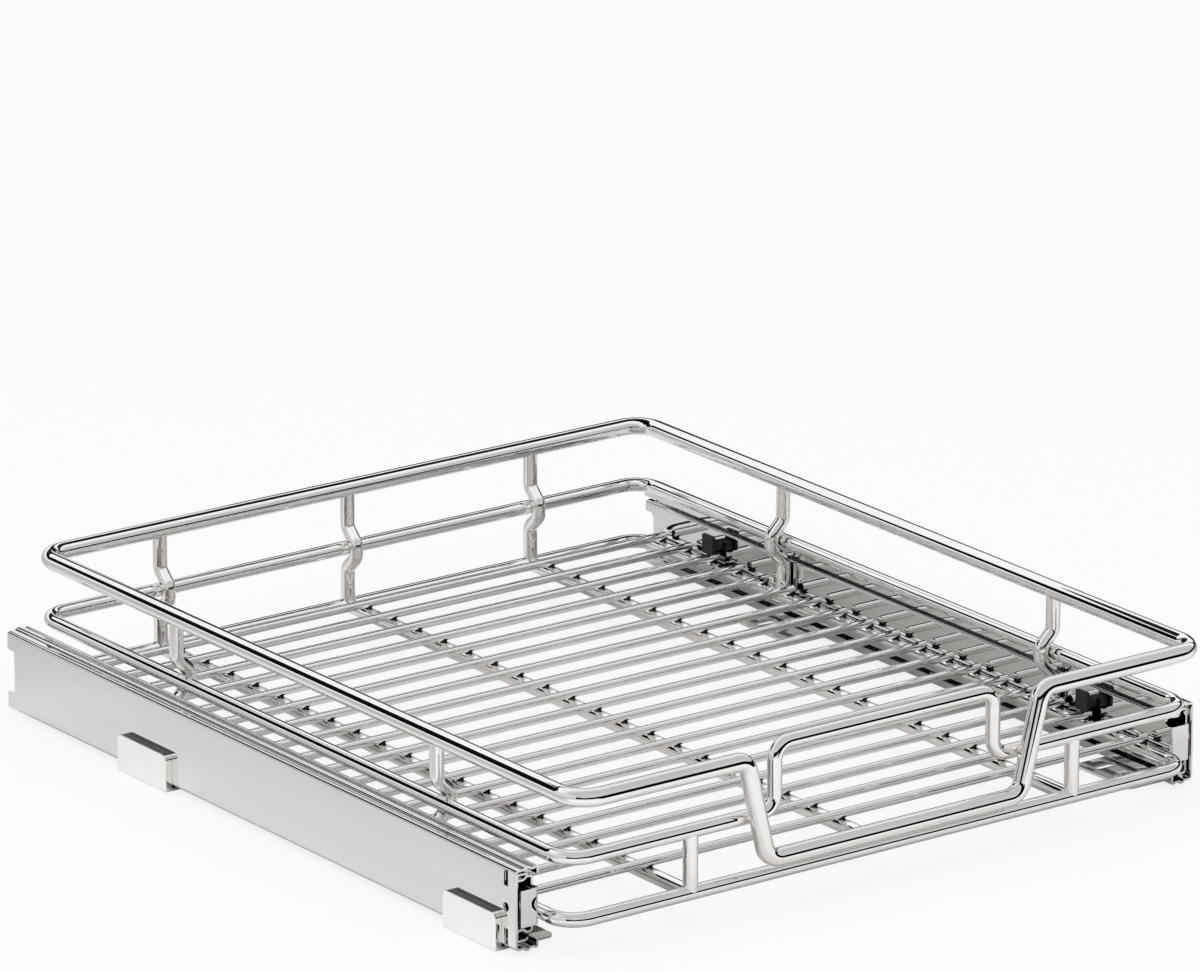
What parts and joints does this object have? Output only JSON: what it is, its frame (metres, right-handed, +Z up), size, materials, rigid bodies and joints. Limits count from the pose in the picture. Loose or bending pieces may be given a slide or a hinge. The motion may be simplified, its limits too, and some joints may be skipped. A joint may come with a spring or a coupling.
{
  "type": "slide-out pantry basket",
  "caption": "Low chromed wire basket with a dipped front and a raised grip, on two full-extension ball-bearing slides with feet that screw to a cabinet floor",
  "frame": {"origin": "On the cabinet floor under the feet, at the middle of the closed object's width and depth", "axes": "+X to the right seen from the front, +Y into the cabinet, +Z up; the basket pulls out along -Y"},
  "size_m": [0.4598, 0.508, 0.0938],
  "materials": {
    "chromed_wire": "bright chrome-plated steel wire",
    "zinc_plated_steel": "zinc-plated roll-formed steel sheet",
    "bracket_steel": "zinc-plated pressed steel",
    "cage_steel": "thin steel strip",
    "bearing_steel": "polished bearing steel",
    "black_plastic": "black moulded plastic"
  },
  "bodies": {
    "cabinet_rails": {"outer_member_left": "zinc_plated_steel", "outer_member_right": "zinc_plated_steel", "bracket_front_left": "bracket_steel", "bracket_rear_left": "bracket_steel", "bracket_front_right": "bracket_steel", "bracket_rear_right": "bracket_steel"},
    "basket": {"top_rail": "chromed_wire", "mid_rail": "chromed_wire", "bottom_frame": "chromed_wire", "longitudinal_rods": "chromed_wire", "cross_wires": "chromed_wire", "back_posts": "chromed_wire", "front_posts": "chromed_wire", "left_posts": "chromed_wire", "right_posts": "chromed_wire", "inner_member_left": "zinc_plated_steel", "inner_member_right": "zinc_plated_steel", "clips_left": "black_plastic", "clips_right": "black_plastic"},
    "middle_left": {"middle_member_left": "zinc_plated_steel"},
    "outer_cage_set_left": {"outer_cage_left": "cage_steel", "outer_balls_left": "bearing_steel"},
    "inner_cage_set_left": {"inner_cage_left": "cage_steel", "inner_balls_left": "bearing_steel"},
    "middle_right": {"middle_member_right": "zinc_plated_steel"},
    "outer_cage_set_right": {"outer_cage_right": "cage_steel", "outer_balls_right": "bearing_steel"},
    "inner_cage_set_right": {"inner_cage_right": "cage_steel", "inner_balls_right": "bearing_steel"}
  },
  "joints": [
    {"name": "basket_slide", "type": "slide", "parent": "cabinet_rails", "child": "basket", "axis": [0, -1, 0], "range_m": [0, 0.46]},
    {"name": "middle_left_slide", "type": "slide", "parent": "cabinet_rails", "child": "middle_left", "axis": [0, -1, 0], "range_m": [0, 0.23]},
    {"name": "outer_cage_set_left_slide", "type": "slide", "parent": "cabinet_rails", "child": "outer_cage_set_left", "axis": [0, -1, 0], "range_m": [0, 0.115]},
    {"name": "inner_cage_set_left_slide", "type": "slide", "parent": "cabinet_rails", "child": "inner_cage_set_left", "axis": [0, -1, 0], "range_m": [0, 0.345]},
    {"name": "middle_right_slide", "type": "slide", "parent": "cabinet_rails", "child": "middle_right", "axis": [0, -1, 0], "range_m": [0, 0.23]},
    {"name": "outer_cage_set_right_slide", "type": "slide", "parent": "cabinet_rails", "child": "outer_cage_set_right", "axis": [0, -1, 0], "range_m": [0, 0.115]},
    {"name": "inner_cage_set_right_slide", "type": "slide", "parent": "cabinet_rails", "child": "inner_cage_set_right", "axis": [0, -1, 0], "range_m": [0, 0.345]}
  ],
  "couplings": [
    {"joint": "middle_left_slide", "follows": "basket_slide", "ratio": 0.5},
    {"joint": "outer_cage_set_left_slide", "follows": "basket_slide", "ratio": 0.25},
    {"joint": "inner_cage_set_left_slide", "follows": "basket_slide", "ratio": 0.75},
    {"joint": "middle_right_slide", "follows": "basket_slide", "ratio": 0.5},
    {"joint": "outer_cage_set_right_slide", "follows": "basket_slide", "ratio": 0.25},
    {"joint": "inner_cage_set_right_slide", "follows": "basket_slide", "ratio": 0.75}
  ]
}
